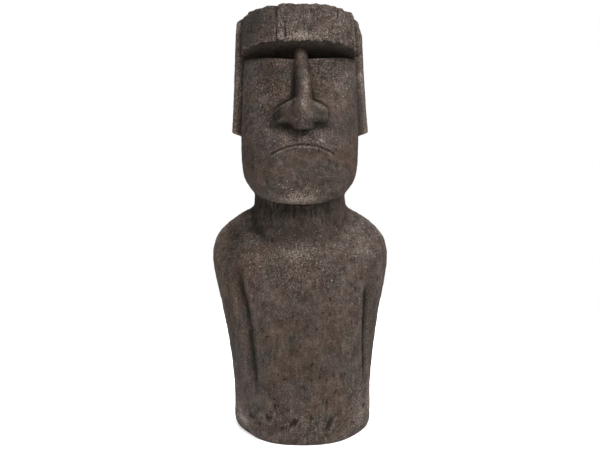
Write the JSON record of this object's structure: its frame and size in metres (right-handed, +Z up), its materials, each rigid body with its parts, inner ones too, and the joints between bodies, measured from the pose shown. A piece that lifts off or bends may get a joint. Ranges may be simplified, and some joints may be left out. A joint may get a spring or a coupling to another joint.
{
  "type": "moai half-figure garden statue",
  "caption": "Decorative moai half-figure with long head, heavy brow, slab ears and arms held to the sides, standing on a flat underside.",
  "frame": {"origin": "centre of the bounding box at the height of the flat underside", "axes": "+Z up through the head, -Y the way the face looks, +X towards the figure's left arm"},
  "size_m": [0.3486, 0.2572, 0.8],
  "materials": {
    "cast_stone": "matt dark grey-brown stone-look casting, sandy and pitted, with pale dry-brushed wear on raised edges and near-black recesses"
  },
  "bodies": {
    "root": {"statue": "cast_stone"}
  },
  "joints": []
}
